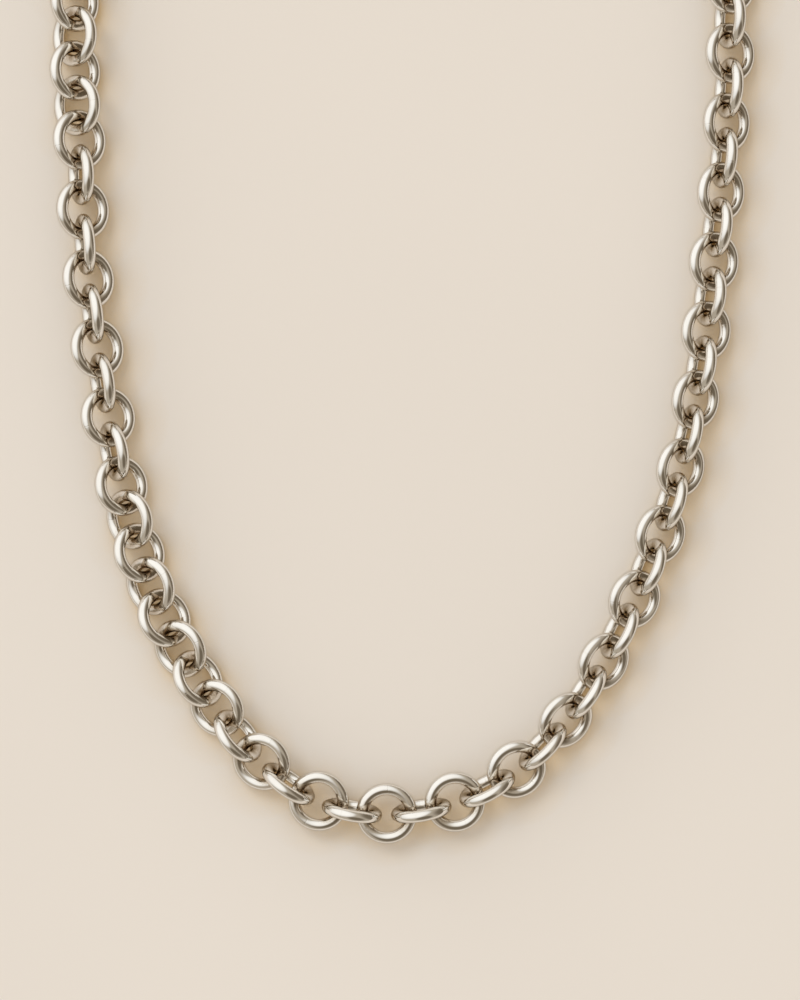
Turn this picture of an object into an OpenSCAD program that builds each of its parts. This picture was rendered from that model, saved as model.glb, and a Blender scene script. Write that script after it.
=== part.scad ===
// Rolo chain necklace: round wire links, each turned about a quarter against the next,
// hooked into a closed loop and laid flat, with a plain ring clasp at the back of the neck.
// Millimetres. X is across the loop, Y runs from the bottom of the loop to the clasp,
// and Z is up from the surface that the chain lies on.

/* [Links] */
// Outside diameter of a link
link_od = 9.2; // [9:0.1:10.5]
// Thickness of the round wire that the links are bent from
wire_d = 1.8; // [1.4:0.1:2]
// Slack between two hooked links, along the chain
link_play = 0.35; // [0.3:0.05:0.5]

/* [Clasp] */
// Outside diameter of the clasp's ring
clasp_od = 9; // [8.6:0.1:10]
// Thickness of the clasp's round tube
tube_d = 2; // [1.6:0.1:2.2]
// Thickness of the eye's wire
eye_wire_d = 1.2; // [1:0.1:1.4]
// Space in the eye, round the wire of the link that it holds
eye_clearance = 0.5; // [0.4:0.05:0.6]

/* [Lay] */
// Lean of the open links at the bottom of the loop, in degrees from flat
bottom_lean = 6; // [0:1:10]
// Lean of the open links along the strands
open_lean = 37; // [25:1:42]
// Lean of the upright links between them
upright_lean = 73; // [65:1:75]
// Lean of all links low on the left strand, where they lie alike
low_lean = 38; // [36:1:45]
// Lean of all links behind the neck
back_lean = 43; // [38:1:50]
// Most that a single link strays from those leans
stray_lean = 3; // [0:0.5:5]

/* [Hidden] */
$fn = 48;

link_r = (link_od - wire_d) / 2;
link_id = link_od - 2 * wire_d;
ring_r = (clasp_od - tube_d) / 2;
eye_id = wire_d + 2 * eye_clearance;
eye_r = (eye_id + eye_wire_d) / 2;

// Where the middle of the chain runs, as chosen points from the bottom link up the right side.
ROUTE_RIGHT = [[-2, -47], [9, -45], [18, -40], [26, -31.5], [32.5, -20.5], [38, -8], [42, 4.5],
               [45, 19], [47, 35], [48.7, 53], [49.5, 69]];
// The same down the left side, from the top to the last point before the bottom link.
ROUTE_LEFT = [[-48.8, 69], [-48, 53], [-47, 36], [-44.5, 17], [-41.5, 1], [-37, -14], [-30.5, -26.5],
              [-22, -38], [-12.5, -45]];
// The stretch behind the neck is half a circle between the two strands.
back_middle = [0.4, 82.3];
back_r = 49.2;
back_turns = [15 : 30 : 165];
route_back = [for (a = back_turns) back_middle + back_r * [cos(a), sin(a)]];
route = concat(ROUTE_RIGHT, route_back, ROUTE_LEFT);

// A smooth closed curve through the points. Its slope at a point is that of the line between
// the two neighbours, and a cubic joins each pair of points.
route_count = len(route);
curve_steps = 12;
function stop(i) = route[(i + route_count) % route_count];
function reach(i) = norm(stop(i + 1) - stop(i));
function slope(i) = (stop(i + 1) - stop(i - 1)) / (reach(i) + reach(i - 1));
function curve(i, u) =
    let (u2 = u * u, u3 = u2 * u)
    (2 * u3 - 3 * u2 + 1) * stop(i) + (u3 - 2 * u2 + u) * reach(i) * slope(i)
    + (3 * u2 - 2 * u3) * stop(i + 1) + (u3 - u2) * reach(i) * slope(i + 1);

// The curve as short steps, with the length of chain run up to each.
steps = [for (i = [0 : route_count - 1], j = [0 : curve_steps - 1]) curve(i, j / curve_steps)];
step_count = len(steps);
function step_at(i) = steps[i % step_count];
runs = [for (i = 0, s = 0; i <= step_count; s = s + norm(step_at(i + 1) - step_at(i)), i = i + 1) s];
loop_length = runs[step_count];
x_by_run = [for (i = [0 : step_count]) [runs[i], step_at(i).x]];
y_by_run = [for (i = [0 : step_count]) [runs[i], step_at(i).y]];
function around(s) = s < 0 ? s + loop_length : s >= loop_length ? s - loop_length : s;
function place(s) = [lookup(around(s), x_by_run), lookup(around(s), y_by_run)];

// The clasp takes up this much of the loop, from the middle of one end link to the other.
hook_reach = link_r + ring_r - (wire_d + tube_d) / 2 - link_play;
eye_reach = link_r;
eye_offset = ring_r + tube_d / 2 + eye_r;
clasp_span = hook_reach + eye_offset + eye_reach;

// As many links each side of the bottom one as keep the slack that was asked for, at least.
side_links = ceil((loop_length - clasp_span) / 2 / (link_id - link_play));
pitch = (loop_length - clasp_span) / 2 / side_links;

// Lean of the links about the chain, in degrees from flat. Columns: share of the way from the
// bottom link to the clasp on that side, lean there of the links that are an even number from the
// bottom link, and lean of those between them, which lean the other way. On the upper left strand
// the ones between lie open.
RIGHT_LEANS = [[0, bottom_lean, 90 - bottom_lean], [0.05, bottom_lean + 4, 86 - bottom_lean],
               [0.15, open_lean, upright_lean], [0.67, open_lean, upright_lean],
               [0.76, back_lean, back_lean], [1, back_lean, back_lean]];
LEFT_LEANS = [[0, bottom_lean, 90 - bottom_lean], [0.05, bottom_lean + 4, 86 - bottom_lean],
              [0.11, 30, 68], [0.15, open_lean, 58], [0.2, low_lean, low_lean],
              [0.28, low_lean, low_lean], [0.34, upright_lean, open_lean],
              [0.52, upright_lean, open_lean], [0.57, back_lean, back_lean], [1, back_lean, back_lean]];
function share(k) = abs(k) / side_links;
function lean(k, column) =
    lookup(share(k), [for (row = k < 0 ? LEFT_LEANS : RIGHT_LEANS) [row[0], row[column]]]);
function even_turn(k) = lean(k, 1);
function between_turn(k) = 180 - lean(k, 2);
// Each link strays a little from that, by steps that never repeat.
stray_turn = 137.5;
function stray(k) = stray_lean * sin(k * stray_turn) * min(1, share(k) * 8);
function turned(k) = (k % 2 == 0 ? even_turn(k) : between_turn(k)) + stray(k);

// How far a ring's lowest point lies below its middle.
function ring_drop(r, wire, turn) = r * abs(sin(turn)) + wire / 2;
// The links that stand on the surface carry the ones between, which hang in them by half the slack.
// An upright link can carry even a flat one, but only within this many links of it.
hang = link_play / 2;
carried_links = ceil(link_r / hang);
function held_by(j, k) = ring_drop(link_r, wire_d, turned(j)) - hang * abs(j - k);
function link_z(k) =
    let (first = max(k - carried_links, -side_links), last = min(k + carried_links, side_links))
    max([for (j = [first : last]) held_by(j, k)]);

// The middle of link k in the plane, and the way that it points: halfway between the lines to
// its two neighbours, where the two end links have each other across the clasp.
function link_xy(k) = place(k * pitch);
function run_from(k) = k == -side_links ? link_xy(side_links) : link_xy(k - 1);
function run_to(k) = k == side_links ? link_xy(-side_links) : link_xy(k + 1);
function unit(v) = v / norm(v);
function heading_vector(k) =
    unit(unit(run_to(k) - link_xy(k)) + unit(link_xy(k) - run_from(k)));
function heading(k) = atan2(heading_vector(k).y, heading_vector(k).x);

// How far link k reaches from its middle along X and Y, as a ring whose axis leans.
function ring_half(r, wire, turn, across) = r * sqrt(1 - pow(sin(turn) * across, 2)) + wire / 2;
function link_half(k) =
    let (way = heading_vector(k))
    [ring_half(link_r, wire_d, turned(k), way.y), ring_half(link_r, wire_d, turned(k), way.x)];

// The clasp lies on the line between the two end links.
clasp_from = link_xy(side_links);
clasp_way = unit(link_xy(-side_links) - clasp_from);
clasp_xy = clasp_from + hook_reach * clasp_way;
clasp_turn = side_links % 2 == 0 ? between_turn(side_links) : even_turn(side_links);
clasp_z = max(link_z(side_links), link_z(-side_links), ring_drop(ring_r, tube_d, clasp_turn));
clasp_half_y = ring_half(ring_r, tube_d, clasp_turn, clasp_way.x);

// The origin is on the surface, in the middle of the whole loop.
all_links = [-side_links : side_links];
low_x = min([for (k = all_links) link_xy(k).x - link_half(k).x]);
high_x = max([for (k = all_links) link_xy(k).x + link_half(k).x]);
low_y = min([for (k = all_links) link_xy(k).y - link_half(k).y]);
high_y = max(clasp_xy.y + clasp_half_y, max([for (k = all_links) link_xy(k).y + link_half(k).y]));
middle = [low_x + high_x, low_y + high_y] / 2;

echo(loop_length = loop_length, side_links = side_links, pitch = pitch, middle = middle);

// A closed ring of round wire in the XY plane.
module wire_ring(r, wire) {
    rotate_extrude()
        translate([r, 0])
            circle(d = wire);
}

// One link, turned about the chain and then along it.
module link(k) {
    translate(concat(link_xy(k) - middle, [link_z(k)]))
        rotate([0, 0, heading(k)])
            rotate([turned(k), 0, 0])
                wire_ring(link_r, wire_d);
}

// Links from the one beside the bottom link to the clasp's eye.
module chain_left() {
    color("silver")
        for (k = [1 : side_links]) link(-k);
}

// The bottom link and those from it to the clasp's ring.
module chain_right() {
    color("lightgray")
        for (k = [0 : side_links]) link(k);
}

// A plain ring clasp with its eye, in one piece.
module clasp() {
    color("gainsboro")
        translate(concat(clasp_xy - middle, [clasp_z]))
            rotate([0, 0, atan2(clasp_way.y, clasp_way.x)])
                rotate([clasp_turn, 0, 0]) {
                    wire_ring(ring_r, tube_d);
                    translate([eye_offset, 0, 0]) wire_ring(eye_r, eye_wire_d);
                }
}

chain_left();
chain_right();
clasp();
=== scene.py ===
"""A rolo chain necklace in polished silver, laid as one whole loop on a pale floor.

Round wire links hook into each other, each about a quarter turn round from the next. A plain ring
clasp closes the loop behind the neck. Metres: X is across the loop, Y runs from the bottom link to the
clasp, and Z is up from the floor.
"""

import math
from dataclasses import dataclass

import bpy
import numpy as np
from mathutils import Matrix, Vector


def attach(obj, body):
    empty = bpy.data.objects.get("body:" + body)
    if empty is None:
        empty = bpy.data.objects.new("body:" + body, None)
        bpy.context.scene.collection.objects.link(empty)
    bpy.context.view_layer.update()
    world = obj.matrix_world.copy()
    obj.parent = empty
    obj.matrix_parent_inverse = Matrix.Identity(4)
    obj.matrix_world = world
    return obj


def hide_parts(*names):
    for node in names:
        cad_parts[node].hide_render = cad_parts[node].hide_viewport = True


bl_info = {
    "name": "Rolo Chain Necklace",
    "version": (1, 0, 0),
    "blender": (4, 5, 0),
    "location": "3D View > Sidebar > Necklace",
    "description": "Makes a polished rolo chain necklace with its floor, light and camera",
    "category": "Add Mesh",
}

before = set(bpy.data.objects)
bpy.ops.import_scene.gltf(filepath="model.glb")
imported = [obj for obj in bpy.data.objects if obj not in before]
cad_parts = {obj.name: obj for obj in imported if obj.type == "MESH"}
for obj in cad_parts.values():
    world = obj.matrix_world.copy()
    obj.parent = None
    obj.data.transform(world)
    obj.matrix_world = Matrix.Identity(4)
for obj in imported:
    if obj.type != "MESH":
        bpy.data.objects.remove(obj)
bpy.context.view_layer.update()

MM = 0.001
STRANDS = ["chain_left", "chain_right"]
CLASP = "clasp"
BODY = "root"

WIRE_MAP = "wire"
BAKE_MAP = "OFBake"
CREVICE = "crevice"
SEED = "link_seed"

# The photograph's frame, and where it lies over the chain.
PHOTO_HEIGHT_PX = 1000
PHOTO_MM_PER_PX = 0.15
PHOTO_MIDDLE = (-0.564 * MM, -41.557 * MM)


# Settings

class LinkSettings(bpy.types.PropertyGroup):
    """Sizes and finish of the links."""

    steps_along: bpy.props.IntProperty(
        name="Steps Along", description="Faces along the wire of a link, apart from its seam",
        default=71, min=24, max=120)
    steps_round: bpy.props.IntProperty(
        name="Steps Round", description="Faces round the wire of a link",
        default=28, min=8, max=48)
    seam_depth: bpy.props.FloatProperty(
        name="Seam Depth", description="Depth of the soldered seam where the wire's ends meet",
        default=0.006 * MM, min=0, unit="LENGTH", subtype="DISTANCE")
    seam_width: bpy.props.FloatProperty(
        name="Seam Width", description="Half of the width of the soldered seam",
        default=0.05 * MM, min=0.01 * MM, unit="LENGTH", subtype="DISTANCE")
    out_of_round: bpy.props.FloatProperty(
        name="Out of Round", description="How much less than a true circle a link may be across",
        default=0.03 * MM, min=0, unit="LENGTH", subtype="DISTANCE")
    wire_waver: bpy.props.FloatProperty(
        name="Wire Waver",
        description="How much the wire thins here and there from drawing and bending",
        default=0.008 * MM, min=0, unit="LENGTH", subtype="DISTANCE")


class ClaspSettings(bpy.types.PropertyGroup):
    """Sizes of the clasp's finer shapes."""

    ring_steps: bpy.props.IntProperty(
        name="Ring Steps", description="Faces along the clasp's ring",
        default=144, min=24, max=240)
    eye_steps: bpy.props.IntProperty(
        name="Eye Steps", description="Faces along the clasp's eye",
        default=112, min=24, max=240)
    steps_round: bpy.props.IntProperty(
        name="Steps Round", description="Faces round the wire of the ring and of the eye",
        default=40, min=8, max=64)
    solder_swell: bpy.props.FloatProperty(
        name="Solder Swell",
        description="How much thicker the eye's wire is where it is soldered on",
        default=0.34 * MM, min=0, unit="LENGTH", subtype="DISTANCE")
    solder_length: bpy.props.FloatProperty(
        name="Solder Length", description="How far along the eye's wire the solder has run",
        default=0.75 * MM, min=0.1 * MM, unit="LENGTH", subtype="DISTANCE")


class FinishSettings(bpy.types.PropertyGroup):
    """Colours and polish of the silver."""

    silver: bpy.props.FloatVectorProperty(
        name="Silver", description="Colour of the polished metal",
        default=(0.93, 0.915, 0.885), min=0, max=1, size=3, subtype="COLOR")
    # Partly real tarnish and partly painted shade: the warm darker colour laid where links come close.
    tarnish_and_shade: bpy.props.FloatVectorProperty(
        name="Tarnish",
        description="Colour of the thin warm tarnish where links rub and polish can't reach",
        default=(0.52, 0.42, 0.29), min=0, max=1, size=3, subtype="COLOR")
    # Partly real oxide and partly painted shade: dark blots laid where links touch most closely.
    oxide_and_shade: bpy.props.FloatVectorProperty(
        name="Oxide",
        description="Dark colour of the blots on the silver in the tightest places",
        default=(0.32, 0.245, 0.17), min=0, max=1, size=3, subtype="COLOR")
    edge: bpy.props.FloatVectorProperty(
        name="Edge", description="Share of the light that the metal mirrors at a grazing angle",
        default=(0.42, 0.37, 0.30), min=0, max=1, size=3, subtype="COLOR")
    polish: bpy.props.FloatProperty(
        name="Polish", description="Roughness of the best polished places",
        default=0.03, min=0, max=1, subtype="FACTOR")
    wear: bpy.props.FloatProperty(
        name="Wear", description="How much rougher the worn places are",
        default=0.09, min=0, max=1, subtype="FACTOR")


class StageSettings(bpy.types.PropertyGroup):
    """Floor, light and camera."""

    floor: bpy.props.FloatVectorProperty(
        name="Floor", description="Colour of the floor",
        default=(0.81, 0.765, 0.713), min=0, max=1, size=3, subtype="COLOR")
    # Painted shade and painted bounce light: colours the floor takes where the links stand close, in
    # place of their shade and of light thrown between them.
    floor_painted_shade: bpy.props.FloatVectorProperty(
        name="Floor Shade",
        description="Warmer colour of the floor in the shade beside the links",
        default=(0.76, 0.60, 0.385), min=0, max=1, size=3, subtype="COLOR")
    floor_painted_bounce: bpy.props.FloatVectorProperty(
        name="Floor Deep",
        description="Colour of the floor inside the links, where light is thrown to and fro",
        default=(1.0, 0.76, 0.44), min=0, max=1, size=3, subtype="COLOR")
    shade_reach: bpy.props.FloatProperty(
        name="Shade Reach", description="How far the shade of the links reaches over the floor",
        default=5.5 * MM, min=0, unit="LENGTH", subtype="DISTANCE")
    floor_size: bpy.props.FloatProperty(
        name="Floor Size", description="Length of a side of the floor",
        default=6.0, min=1, unit="LENGTH", subtype="DISTANCE")
    key: bpy.props.FloatVectorProperty(
        name="Key", description="Colour and brightness of the large soft light that the silver mirrors",
        default=(0.81, 0.79, 0.755), min=0, size=3, subtype="COLOR")
    core: bpy.props.FloatVectorProperty(
        name="Core",
        description="Colour and brightness that its core adds to the soft light",
        default=(0.255, 0.255, 0.245), min=0, size=3, subtype="COLOR")
    fill: bpy.props.FloatVectorProperty(
        name="Fill",
        description="Colour and brightness of the even light that matt things take from all round",
        default=(1.08, 1.01, 0.925), min=0, size=3, subtype="COLOR")
    fill_share: bpy.props.FloatProperty(
        name="Fill Share", description="How much of the light on matt things is that even light",
        default=0.5, min=0, max=1, subtype="FACTOR")
    room: bpy.props.FloatVectorProperty(
        name="Room", description="Colour of the dim warm room round the lights",
        default=(0.44, 0.385, 0.31), min=0, max=1, size=3, subtype="COLOR")
    dark: bpy.props.FloatVectorProperty(
        name="Dark Screens",
        description="Colour of the dark screens that give the wire its dark lines",
        default=(0.16, 0.128, 0.09), min=0, max=1, size=3, subtype="COLOR")
    backdrop: bpy.props.FloatVectorProperty(
        name="Backdrop", description="Colour beyond the floor",
        default=(0.76, 0.70, 0.62), min=0, max=1, size=3, subtype="COLOR")
    lamp_strength: bpy.props.FloatProperty(
        name="Lamp Strength", description="Brightness of the soft lamp that lights the floor",
        default=0.53, min=0)
    lamp_spread: bpy.props.FloatProperty(
        name="Lamp Spread", description="Angle across the soft lamp, seen from the chain",
        default=math.radians(24), min=0, max=math.pi, subtype="ANGLE", unit="ROTATION")
    camera_height: bpy.props.FloatProperty(
        name="Camera Height", description="Height of the camera over the middle of the links",
        default=0.6, min=0.2, unit="LENGTH", subtype="DISTANCE")


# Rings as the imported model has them

@dataclass
class Ring:
    """A closed ring of round wire: its middle, the unit axis that it goes round, and its radii."""

    node: str
    middle: np.ndarray
    axis: np.ndarray
    radius: float
    wire: float


# Packed corners in the same cell of this size are taken for one.
MERGE_CELL = 0.002 * MM


def packed_corners(node):
    """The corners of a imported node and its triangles. Corners that round to the same cell of 2
    micrometres are merged."""
    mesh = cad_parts[node].data
    places = np.empty(len(mesh.vertices) * 3)
    mesh.vertices.foreach_get("co", places)
    places = places.reshape(-1, 3)
    corners = np.empty(len(mesh.loops), int)
    mesh.loops.foreach_get("vertex_index", corners)
    cells = np.round(places / MERGE_CELL).astype(np.int64)
    _, first, same = np.unique(cells, axis=0, return_index=True, return_inverse=True)
    return places[first], same.reshape(-1)[corners].reshape(-1, 3)


def islands(places, triangles):
    """Splits corners into the groups that triangles join. Each corner takes the lowest number among
    those of its triangles, again and again, until nothing changes."""
    label = np.arange(len(places))
    while True:
        lower = label.copy()
        lowest = label[triangles].min(axis=1)
        for side in range(triangles.shape[1]):
            np.minimum.at(lower, triangles[:, side], lowest)
        lower = lower[lower]
        if (lower == label).all():
            break
        label = lower
    return [places[label == number] for number in np.unique(label)]


def unit(vectors):
    """Vectors, or rows of them, at length 1."""
    return vectors / np.linalg.norm(vectors, axis=-1, keepdims=True)


def flat_axes(places):
    """The middle of a flat group of points, and its unit axes from the longest to the shortest."""
    middle = places.mean(axis=0)
    axes = np.linalg.svd(places - middle, full_matrices=False)[2]
    return middle, axes


def link_ring(node, places):
    """A link as a ring. Its axis is the direction in which its points spread least, its wire is half
    as thick as that spread, and its radius is its reach less the wire."""
    middle, axes = flat_axes(places)
    axis = axes[2] * (1 if axes[2][2] >= 0 else -1)
    height = (places - middle) @ axis
    wire = np.abs(height).max()
    reach = np.linalg.norm(places - middle - height[:, None] * axis, axis=1).max()
    return Ring(node, middle, axis, reach - wire, wire)


def clasp_rings(places, eye_wire):
    """The clasp's ring and its eye. Both lie in one plane on one line, with the eye's wire let into
    the outside of the ring by half, so the ends of the clasp along that line give both sizes."""
    middle, axes = flat_axes(places)
    axis = axes[2] * (1 if axes[2][2] >= 0 else -1)
    wire = np.abs((places - middle) @ axis).max()
    along = (places - middle) @ axes[0]
    across = (places - middle) @ axes[1]
    reach = np.abs(across - (across.max() + across.min()) / 2).max()
    widest = along[np.argmax(across)]
    way = 1 if widest < (along.max() + along.min()) / 2 else -1
    near_end = (way * along).min()
    far_end = (way * along).max()
    level = middle + (across.max() + across.min()) / 2 * axes[1]
    ring_middle = near_end + reach
    eye_radius = (far_end - ring_middle - reach - eye_wire) / 2
    eye_middle = ring_middle + reach + eye_radius
    ring = Ring(CLASP, level + way * ring_middle * axes[0], axis, reach - wire, wire)
    eye = Ring(CLASP, level + way * eye_middle * axes[0], axis, eye_radius, eye_wire)
    return [ring, eye]


# Half the thickness of the wire of the clasp's eye, as the CAD has it.
EYE_WIRE = 0.6 * MM


def find_rings():
    """Every ring of the necklace in turn round the loop, from the angle of its middle about Z."""
    found = [link_ring(node, places)
             for node in STRANDS for places in islands(*packed_corners(node))]
    found += clasp_rings(packed_corners(CLASP)[0], EYE_WIRE)
    return sorted(found, key=lambda ring: math.atan2(ring.middle[1], ring.middle[0]))


RINGS = find_rings()
MIDDLES = np.array([ring.middle for ring in RINGS])
AXES = np.array([ring.axis for ring in RINGS])
RADII = np.array([ring.radius for ring in RINGS])
WIRES = np.array([ring.wire for ring in RINGS])


# Surfaces

def ring_surface(middle, axis, start, radius, wire, along, around):
    """Closed rings of round wire. A point at angle a along the ring and b round the wire lies at the
    middle, plus (radius + wire cos b) times the direction at a in the ring's plane, plus wire sin b
    times the axis. start is the direction at a = 0. Rings run down the first index, then a, then b."""
    side = np.cross(axis, start)
    out = np.cos(along)[..., None] * start[:, None] + np.sin(along)[..., None] * side[:, None]
    reach = (radius[..., None] + wire * np.cos(around))[..., None] * out[:, :, None]
    rise = (wire * np.sin(around))[..., None] * axis[:, None, None]
    return middle[:, None, None] + reach + rise


def ring_faces(count, rows, columns):
    """The four corners of each face of closed rings, row by row, so that faces point outwards."""
    ring = np.arange(count)[:, None, None] * rows * columns
    row = np.arange(rows)[None, :, None]
    column = np.arange(columns)[None, None, :]
    here, beyond = row * columns, (row + 1) % rows * columns
    right = (column + 1) % columns
    return np.stack([ring + here + column, ring + beyond + column,
                     ring + beyond + right, ring + here + right], axis=-1).reshape(-1, 4)


def wire_map(along, columns):
    """A map of each face's corners: how far along the wire from its seam, and how far round it,
    both from 0 to 1. along holds each row's share, a ring to a line."""
    count, rows = along.shape
    ends = np.concatenate([along[:, 1:], np.ones((count, 1))], axis=1)
    low = np.arange(columns) / columns
    high = (np.arange(columns) + 1) / columns
    u = np.stack([along, ends, ends, along], axis=-1)[:, :, None, :]
    v = np.stack([low, low, high, high], axis=-1)[None, None]
    full = (count, rows, columns, 4)
    return np.stack([np.broadcast_to(u, full), np.broadcast_to(v, full)], axis=-1)


def bake_map(uv, across, margin=0.04):
    """The wire map of every ring laid side by side in the unit square, each in a cell of its own."""
    count = len(uv)
    down = math.ceil(count / across)
    cell = np.arange(count)
    corner = np.stack([cell % across, cell // across], axis=-1)[:, None, None, None]
    return (corner + margin + uv * (1 - 2 * margin)) / np.array([across, down])


def distance_to_ring(points, ring):
    """How far points lie outside a ring's wire: the distance to the circle in the middle of its wire,
    less the wire's radius."""
    offset = points - MIDDLES[ring]
    rise = offset @ AXES[ring]
    spread = np.linalg.norm(offset - rise[..., None] * AXES[ring], axis=-1)
    return np.hypot(spread - RADII[ring], rise) - WIRES[ring]


def crevice_depth(points, first, last, reach=2.8 * MM):
    """How deep points of a body lie in a crevice: 1 where they touch one of the two rings before the
    body's first ring or of the two after its last, falling to 0 at a reach from the nearest."""
    beside = (first - 2, first - 1, last + 1, last + 2)
    gap = np.min([distance_to_ring(points, ring % len(RINGS)) for ring in beside], axis=0)
    return np.clip(1 - gap / reach, 0, 1)


# Meshes

def add_attributes(mesh, attributes):
    """Gives a mesh a number for each corner, by name."""
    for label, numbers in attributes.items():
        made = mesh.attributes.new(label, "FLOAT", "POINT")
        made.data.foreach_set("value", numbers.astype(np.float32).ravel())


def mesh_object(name, places, faces, maps, attributes, material):
    """A smooth mesh object from arrays: corners, faces of four, maps of face corners by name, and a
    number for each corner by name."""
    mesh = bpy.data.meshes.new(name)
    mesh.vertices.add(len(places))
    mesh.vertices.foreach_set("co", places.astype(np.float32).ravel())
    mesh.loops.add(faces.size)
    mesh.loops.foreach_set("vertex_index", faces.astype(np.int32).ravel())
    mesh.polygons.add(len(faces))
    mesh.polygons.foreach_set("loop_start", np.arange(0, faces.size, 4, dtype=np.int32))
    mesh.update(calc_edges=True)
    for label, uv in maps.items():
        mesh.uv_layers.new(name=label).uv.foreach_set("vector", uv.astype(np.float32).ravel())
    add_attributes(mesh, attributes)
    mesh.shade_smooth()
    mesh.materials.append(material)
    made = bpy.data.objects.new(name, mesh)
    bpy.context.scene.collection.objects.link(made)
    return made


# Rows of corners over a link's seam, in half widths of the seam from its middle.
SEAM_ROWS = np.array([-4.0, -2.2, -1.3, -0.6, 0.0, 0.6, 1.3, 2.2, 4.0])


def row_places(radius, settings):
    """How far along the wire each row of a link lies: a few rows close together over the seam, which
    is at 0, and the rest evenly spread. As shares of the way round, from 0."""
    length = 2 * math.pi * radius
    close = SEAM_ROWS * settings.seam_width
    spread = np.linspace(close[-1], length + close[0], settings.steps_along + 1)[1:-1]
    rows = np.concatenate([close[4:], spread, close[:4] + length])
    return rows / length


def chain_way(ring):
    """The direction of the chain at a ring, laid in the ring's own plane."""
    way = MIDDLES[(ring + 1) % len(RINGS)] - MIDDLES[ring - 1]
    way = way - (way * AXES[ring]).sum(axis=-1, keepdims=True) * AXES[ring]
    return unit(way)


def make_links(node, settings, material):
    """All links of a strand as one mesh. Each has its seam on one side or the other, somewhere near
    the middle of that side, and bends and wavers a little in its own way."""
    numbers = np.array([n for n, ring in enumerate(RINGS) if ring.node == node])
    count = len(numbers)
    random = np.random.default_rng(len(node))
    axis = AXES[numbers]
    way = chain_way(numbers)
    side = np.cross(axis, way)
    seam_turn = random.choice([0, math.pi], count) + random.uniform(-0.5, 0.5, count)
    start = np.cos(seam_turn)[:, None] * side + np.sin(seam_turn)[:, None] * way

    share = np.tile(row_places(RADII[numbers].mean(), settings), (count, 1))
    along = 2 * math.pi * share
    around = np.linspace(0, 2 * math.pi, settings.steps_round, endpoint=False)
    phase = random.uniform(0, 2 * math.pi, (3, count, 1))
    oval = settings.out_of_round * (1 + np.cos(2 * along + phase[0])) / 2
    ripple = np.cos(3 * along + phase[1]) + np.cos(5 * along + phase[2])
    waver = settings.wire_waver * (2 + ripple) / 4
    from_seam = np.minimum(share, 1 - share) * 2 * math.pi * RADII[numbers][:, None]
    groove = settings.seam_depth * np.exp(-(from_seam / settings.seam_width) ** 2)
    radius = RADII[numbers][:, None] - oval
    wire = (WIRES[numbers][:, None] - waver - groove)[..., None] * np.ones(len(around))

    points = ring_surface(MIDDLES[numbers], axis, start, radius, wire, along, around)
    crevice = np.array([crevice_depth(points[n], ring, ring) for n, ring in enumerate(numbers)])
    seed = np.broadcast_to(random.uniform(0, 1, count)[:, None, None], crevice.shape)
    uv = wire_map(share, len(around))
    return mesh_object(
        f"{node}_links", points.reshape(-1, 3), ring_faces(count, along.shape[1], len(around)),
        {WIRE_MAP: uv, BAKE_MAP: bake_map(uv, across=3)}, {CREVICE: crevice, SEED: seed}, material)


def clasp_ring(number, start, rows, columns, swell, swell_length, material):
    """One ring of the clasp, from start. Its wire swells at the far side, by a bell curve."""
    share = np.arange(rows)[None] / rows
    along = 2 * math.pi * share
    around = np.linspace(0, 2 * math.pi, columns, endpoint=False)
    from_joint = (along - math.pi) * RADII[number]
    solder = swell * np.exp(-(from_joint / swell_length) ** 2)
    wire = (WIRES[number] + solder)[..., None] * np.ones(columns)
    radius = np.full(along.shape, RADII[number])
    points = ring_surface(
        MIDDLES[[number]], AXES[[number]], start[None], radius, wire, along, around)
    return mesh_object(CLASP, points.reshape(-1, 3), ring_faces(1, rows, columns),
                       {WIRE_MAP: wire_map(share, columns)}, {}, material)


# Corners of the joined clasp that are nearer than this are merged.
MERGE_SEAM = 0.001 * MM


def make_clasp(settings, material):
    """The clasp as one closed body: its ring and its eye, each a ring of round wire. The eye's wire
    swells towards the ring, as solder fills the corner, and the two are joined into one skin. Corners
    nearer than a micrometre are merged, since the join leaves some along its seam."""
    numbers = [n for n, ring in enumerate(RINGS) if ring.node == CLASP]
    ring, eye = sorted(numbers, key=lambda n: -RADII[n])
    away = unit(MIDDLES[eye] - MIDDLES[ring])
    columns = settings.steps_round
    length = settings.solder_length
    whole = clasp_ring(ring, -away, settings.ring_steps, columns, 0, length, material)
    part = clasp_ring(eye, away, settings.eye_steps, columns, settings.solder_swell, length, material)
    join = whole.modifiers.new("solder", "BOOLEAN")
    join.operation = "UNION"
    join.solver = "EXACT"
    join.object = part
    weld = whole.modifiers.new("weld", "WELD")
    weld.merge_threshold = MERGE_SEAM
    depsgraph = bpy.context.evaluated_depsgraph_get()
    mesh = bpy.data.meshes.new_from_object(whole.evaluated_get(depsgraph))
    whole.modifiers.clear()
    whole.data = mesh
    bpy.data.objects.remove(part)
    whole.name = f"{CLASP}_body"
    mesh.shade_smooth()
    places = np.empty(len(mesh.vertices) * 3, np.float32)
    mesh.vertices.foreach_get("co", places)
    crevice = crevice_depth(places.reshape(-1, 3), min(numbers), max(numbers))
    add_attributes(mesh, {CREVICE: crevice, SEED: np.full(len(crevice), 0.5)})
    return whole


# Shader maths

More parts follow.
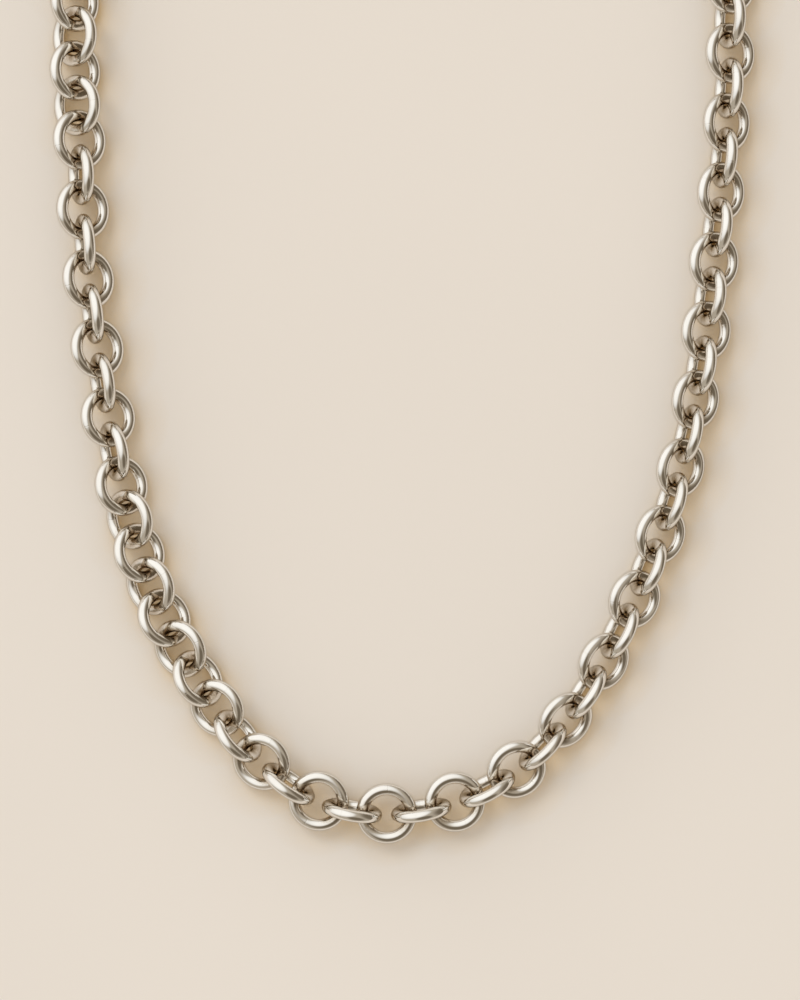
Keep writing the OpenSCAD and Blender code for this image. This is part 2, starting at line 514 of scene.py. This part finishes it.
class Shade:
    """An output of a shader node. Python's operators on it add Math nodes to its tree."""

    def __init__(self, tree, socket=None):
        self.tree = tree
        self.socket = socket

    def node(self, kind, settings=None, sockets=None, out=0):
        """Adds a node of a kind. Its settings are set first, then its sockets to values or links."""
        made = self.tree.nodes.new(kind)
        for name, value in (settings or {}).items():
            if name == "stops":
                self.set_stops(made.color_ramp, value)
            else:
                setattr(made, name, value)
        for name, value in (sockets or {}).items():
            if isinstance(value, Shade):
                self.tree.links.new(value.socket, made.inputs[name])
            else:
                made.inputs[name].default_value = value
        return Shade(self.tree, made.outputs[out]) if made.outputs else made

    @staticmethod
    def set_stops(ramp, stops):
        """Gives a colour ramp its stops, each a place and a colour."""
        while len(ramp.elements) < len(stops):
            ramp.elements.new(1)
        for element, (place, colour) in zip(ramp.elements, stops):
            element.position = place
            element.color = colour

    def math(self, operation, *values):
        """A Math node on this value and others, in the order given."""
        return self.node("ShaderNodeMath", {"operation": operation}, dict(enumerate(values)))

    def __add__(self, other):
        return self.math("ADD", self, other)

    def __rsub__(self, other):
        return self.math("SUBTRACT", other, self)

    def __mul__(self, other):
        return self.math("MULTIPLY", self, other)

    __radd__ = __add__

    def ramp(self, low, high, to_low=0.0, to_high=1.0):
        """Runs smoothly from to_low to to_high as this value goes from low to high."""
        return self.node(
            "ShaderNodeMapRange", {"interpolation_type": "SMOOTHSTEP"},
            {"Value": self, "From Min": low, "From Max": high, "To Min": to_low, "To Max": to_high})

    def noise(self, vector, scale, detail=2.0, roughness=0.5):
        """Soft noise from 0 to 1 at a vector."""
        return self.node("ShaderNodeTexNoise", {},
                         {"Vector": vector, "Scale": scale, "Detail": detail, "Roughness": roughness})

    def mix(self, mask, first, second):
        """A colour between two others, by a mask from 0 to 1."""
        return self.node("ShaderNodeMix", {"data_type": "RGBA"}, {0: mask, 6: first, 7: second}, 2)

    def parts(self):
        """The three parts of a vector, as values."""
        split = self.node("ShaderNodeSeparateXYZ", {}, {0: self})
        return [Shade(self.tree, socket) for socket in split.socket.node.outputs]

    def vector(self, *parts):
        """A vector from three values."""
        return self.node("ShaderNodeCombineXYZ", {}, dict(enumerate(parts)))


def rgba(colour):
    """A colour with full alpha."""
    return (*colour, 1.0)


def new_material(name):
    """An empty material, with the start of its expressions."""
    material = bpy.data.materials.new(name)
    material.use_nodes = True
    material.node_tree.nodes.clear()
    return material, Shade(material.node_tree)


def polished_silver(name, finish, wire_length, wire_round):
    """Polished silver wire. Fine lines run along the wire from drawing and polishing, and the seam is
    a little duller. Where links come close, the colour runs to warm tarnish, with dark blots in the
    tightest places; these are partly real tarnish and oxide and partly painted shade and dark
    reflection between the links. wire_length and wire_round are the sizes of the wire map in
    millimetres, so that everything keeps its real scale."""
    material, start = new_material(name)
    uv = start.node("ShaderNodeUVMap", {"uv_map": WIRE_MAP})
    along, around, _ = uv.parts()
    crevice = start.node("ShaderNodeAttribute", {"attribute_name": CREVICE}, out="Fac")
    seed = start.node("ShaderNodeAttribute", {"attribute_name": SEED}, out="Fac")
    turn = around * (2 * math.pi)
    across = wire_round / (2 * math.pi)
    east = turn.math("COSINE", turn) * across
    north = turn.math("SINE", turn) * across
    length = along * wire_length + seed * 97.0
    drawn = start.noise(start.vector(length * 0.25, east, north), 9.0, 3.0, 0.6)
    cloud = start.noise(start.vector(length, east, north), 0.55, 2.0)
    speck = start.noise(start.vector(length, east, north), 5.0, 3.0, 0.65)
    blot = start.noise(start.vector(length, east, north), 1.1, 2.0, 0.6)

    seam = (along.math("MINIMUM", along, 1 - along) * wire_length).ramp(0.05, 0.22, 1.0, 0.0)
    # Painted shade near other links: the colour runs to warm tarnish, partly real tarnish and partly
    # painted shade between links.
    worn = crevice.ramp(0.15, 0.85)
    tarnish_shade_mask = worn * speck.ramp(0.30, 0.62, 0.35, 1.0)
    tint = cloud.ramp(0.35, 0.7) * 0.06 + seed * 0.05 + seam * 0.05 + tarnish_shade_mask * 0.85
    clean = start.mix(tint.math("MINIMUM", tint, 0.9), rgba(finish.silver), rgba(finish.tarnish_and_shade))
    # Painted shade in the tightest places: dark blots that stand partly for oxide and partly for the
    # shade between links.
    oxide_shade_mask = crevice.ramp(0.35, 0.95) * blot.ramp(0.38, 0.58, 0.15, 1.0)
    colour = start.mix(oxide_shade_mask, clean, rgba(finish.oxide_and_shade))
    roughness = (finish.polish + cloud.ramp(0.4, 0.75) * (finish.wear * 0.35)
                 + drawn.ramp(0.55, 0.8) * (finish.wear * 0.25)
                 + (seam * 0.5 + tarnish_shade_mask * 0.25) * finish.wear)
    bump = start.node("ShaderNodeBump", {}, {
        "Strength": 0.5, "Distance": 0.004 * MM, "Height": drawn + speck * 0.6})
    shader = start.node("ShaderNodeBsdfPrincipled", {}, {
        "Base Color": colour, "Metallic": 1.0, "Roughness": roughness, "Normal": bump,
        "Specular Tint": rgba(finish.edge)})
    start.node("ShaderNodeOutputMaterial", {}, {"Surface": shader})
    return material


def matt_floor(name, colour, shade, deep, reach):
    """A plain pale floor, matt, with hardly seen soft blotches and painted shade. Where things that
    stand within reach cover the side that the light comes from, its colour runs to a warmer one, shade,
    as painted shade. Where they cover most of it, it runs on to a light warm one, deep, as painted
    bounce light that stands for light thrown to and fro there."""
    material, start = new_material(name)
    place = start.node("ShaderNodeTexCoord", out="Object")
    blotch = start.noise(place, 9.0, 3.0)
    fine = start.noise(place, 900.0, 2.0)
    darker = tuple(part * 0.985 for part in colour)
    plain = start.mix(blotch.ramp(0.35, 0.7), rgba(colour), rgba(darker))
    to_light = start.vector(*direction(azimuth=125, from_up=50))
    open_sky = start.node("ShaderNodeAmbientOcclusion", {"samples": 4},
                          {"Distance": reach, "Normal": to_light}, "AO")
    # Painted shade beside the links, then painted bounce light inside them, by how open the sky towards
    # the light is.
    beside = start.mix(open_sky.ramp(0.50, 0.97), rgba(shade), plain)
    base = start.mix(open_sky.ramp(0.33, 0.63), rgba(deep), beside)
    bump = start.node("ShaderNodeBump", {}, {
        "Strength": 0.15, "Distance": 0.05 * MM, "Height": fine})
    shader = start.node("ShaderNodeBsdfPrincipled", {}, {
        "Base Color": base, "Roughness": 0.75, "Specular IOR Level": 0.25, "Normal": bump})
    start.node("ShaderNodeOutputMaterial", {}, {"Surface": shader})
    return material


# Stage

def make_floor(stage):
    """The floor as a flat grid: a point lies at its two parameters times the side, at height 0."""
    steps = 9
    line = np.linspace(-0.5, 0.5, steps) * stage.floor_size
    x, y = np.meshgrid(line, line)
    places = np.stack([x, y, 0 * x], axis=-1).reshape(-1, 3)
    cell = (np.arange(steps - 1)[:, None] * steps + np.arange(steps - 1)).ravel()
    faces = cell[:, None] + np.array([0, 1, steps + 1, steps])
    matt = matt_floor(
        "floor_matt", stage.floor, stage.floor_painted_shade, stage.floor_painted_bounce, stage.shade_reach)
    return mesh_object("floor", places, faces, {}, {}, matt)


def direction(azimuth, from_up):
    """The unit direction at an angle from straight up, towards an azimuth from +X, in degrees."""
    azimuth, from_up = math.radians(azimuth), math.radians(from_up)
    level = math.sin(from_up)
    return (level * math.cos(azimuth), level * math.sin(azimuth), math.cos(from_up))


def round_patch(way, azimuth, from_up, reach, softness):
    """A mask that is 1 within an angle of a direction and fades to 0 across its soft edge."""
    facing = way.node("ShaderNodeVectorMath", {"operation": "DOT_PRODUCT"},
                      {0: way, 1: direction(azimuth, from_up)}, "Value")
    outer = math.cos(math.radians(reach + softness))
    inner = math.cos(math.radians(reach - softness))
    return facing.ramp(outer, inner)


def make_light(stage):
    """The studio as a world: a large soft light to the upper left with a brighter core, two dark
    screens opposite that give round wire its thin dark lines, and a dim warm room round them. Matt
    things take a share of their light from an even fill, and a plain backdrop lies beyond the floor."""
    world = bpy.data.worlds.new("studio")
    bpy.context.scene.world = world
    world.use_nodes = True
    world.node_tree.nodes.clear()
    start = Shade(world.node_tree)
    way = start.node("ShaderNodeTexCoord", out="Generated")
    key = round_patch(way, azimuth=142, from_up=50, reach=57, softness=9)
    core = round_patch(way, azimuth=138, from_up=46, reach=40, softness=18)
    screen = round_patch(way, azimuth=-72, from_up=46, reach=27, softness=10)
    low_screen = round_patch(way, azimuth=12, from_up=92, reach=42, softness=17)
    screened = start.mix(screen, rgba(stage.room), rgba(stage.dark))
    dimmed = start.mix(low_screen, screened, rgba(stage.dark))
    lit = start.mix(key, dimmed, rgba(stage.key))
    bright = start.node("ShaderNodeMix", {"data_type": "RGBA", "blend_type": "ADD"},
                        {0: core, 6: lit, 7: rgba(stage.core)}, 2)
    seen = start.node("ShaderNodeLightPath", out="Is Camera Ray")
    matt = start.node("ShaderNodeLightPath", out="Is Diffuse Ray")
    spread = start.mix(matt * stage.fill_share, bright, rgba(stage.fill))
    shown = start.mix(seen, spread, rgba(stage.backdrop))
    background = start.node("ShaderNodeBackground", {}, {"Color": shown, "Strength": 1.0})
    start.node("ShaderNodeOutputWorld", {}, {"Surface": background})


def make_lamp(stage):
    """A soft lamp to the upper left that lights the floor and draws the shadows. The silver doesn't
    mirror it, because the soft light of the studio stands for it there."""
    data = bpy.data.lights.new("lamp", "SUN")
    data.energy = stage.lamp_strength
    data.angle = stage.lamp_spread
    lamp = bpy.data.objects.new("lamp", data)
    bpy.context.scene.collection.objects.link(lamp)
    to_lamp = Vector(direction(azimuth=130, from_up=33))
    lamp.rotation_euler = to_lamp.to_track_quat("Z", "Y").to_euler()
    lamp.visible_glossy = False


# The camera sees nothing nearer or farther than this.
CLIP_NEAR = 10 * MM
CLIP_FAR = 20.0


def make_camera(stage):
    """The camera, straight above the middle of the photograph's frame, with that frame's height of
    view at the middle of the links."""
    data = bpy.data.cameras.new("camera")
    camera = bpy.data.objects.new("camera", data)
    bpy.context.scene.collection.objects.link(camera)
    bpy.context.scene.camera = camera
    links_height = MIDDLES[:, 2].mean()
    camera.location = (*PHOTO_MIDDLE, links_height + stage.camera_height)
    view_height = PHOTO_HEIGHT_PX * PHOTO_MM_PER_PX * MM
    data.lens = data.sensor_width * stage.camera_height / view_height
    data.clip_start = CLIP_NEAR
    data.clip_end = CLIP_FAR
    bpy.context.scene.view_settings.view_transform = "Standard"


# Operators

class NECKLACE_OT_stage(bpy.types.Operator):
    """Make the floor, the studio light and the camera"""

    bl_idname = "necklace.stage"
    bl_label = "Stage"

    def execute(self, context):
        stage = context.scene.necklace_stage
        make_camera(stage)
        make_light(stage)
        make_lamp(stage)
        make_floor(stage)
        return {"FINISHED"}


class NECKLACE_OT_links(bpy.types.Operator):
    """Make the links of both strands"""

    bl_idname = "necklace.links"
    bl_label = "Links"

    def execute(self, context):
        settings = context.scene.necklace_links
        wire_length = 2 * math.pi * np.median(RADII) / MM
        wire_round = 2 * math.pi * np.median(WIRES) / MM
        silver = polished_silver(
            "silver_links", context.scene.necklace_finish, wire_length, wire_round)
        for node in STRANDS:
            links = make_links(node, settings, silver)
            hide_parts(node)
            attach(links, BODY)
        return {"FINISHED"}


class NECKLACE_OT_clasp(bpy.types.Operator):
    """Make the plain ring clasp behind the neck"""

    bl_idname = "necklace.clasp"
    bl_label = "Clasp"

    def execute(self, context):
        clasp = [n for n, ring in enumerate(RINGS) if ring.node == CLASP]
        wire_length = 2 * math.pi * RADII[clasp].max() / MM
        wire_round = 2 * math.pi * WIRES[clasp].max() / MM
        silver = polished_silver(
            "silver_clasp", context.scene.necklace_finish, wire_length, wire_round)
        body = make_clasp(context.scene.necklace_clasp, silver)
        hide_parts(CLASP)
        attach(body, BODY)
        return {"FINISHED"}


class NECKLACE_PT_panel(bpy.types.Panel):
    """Settings of the necklace and the buttons that make it"""

    bl_idname = "NECKLACE_PT_panel"
    bl_label = "Rolo Chain Necklace"
    bl_space_type = "VIEW_3D"
    bl_region_type = "UI"
    bl_category = "Necklace"

    def draw(self, context):
        scene = context.scene
        sections = (
            (scene.necklace_stage, NECKLACE_OT_stage),
            (scene.necklace_finish, None),
            (scene.necklace_links, NECKLACE_OT_links),
            (scene.necklace_clasp, NECKLACE_OT_clasp),
        )
        for settings, operator in sections:
            box = self.layout.box()
            for name in settings.bl_rna.properties.keys():
                if name not in ("rna_type", "name"):
                    box.prop(settings, name)
            if operator:
                box.operator(operator.bl_idname)


CLASSES = (
    LinkSettings, ClaspSettings, FinishSettings, StageSettings,
    NECKLACE_OT_stage, NECKLACE_OT_links, NECKLACE_OT_clasp, NECKLACE_PT_panel,
)


def register():
    """Registers the classes and gives the scene their settings."""
    for item in CLASSES:
        bpy.utils.register_class(item)
    bpy.types.Scene.necklace_links = bpy.props.PointerProperty(type=LinkSettings)
    bpy.types.Scene.necklace_clasp = bpy.props.PointerProperty(type=ClaspSettings)
    bpy.types.Scene.necklace_finish = bpy.props.PointerProperty(type=FinishSettings)
    bpy.types.Scene.necklace_stage = bpy.props.PointerProperty(type=StageSettings)


def unregister():
    """Takes the settings and the classes away again."""
    del bpy.types.Scene.necklace_stage
    del bpy.types.Scene.necklace_finish
    del bpy.types.Scene.necklace_clasp
    del bpy.types.Scene.necklace_links
    for item in reversed(CLASSES):
        bpy.utils.unregister_class(item)


def main():
    register()
    bpy.ops.necklace.stage()
    bpy.ops.necklace.links()
    bpy.ops.necklace.clasp()


if __name__ == "__main__":
    main()
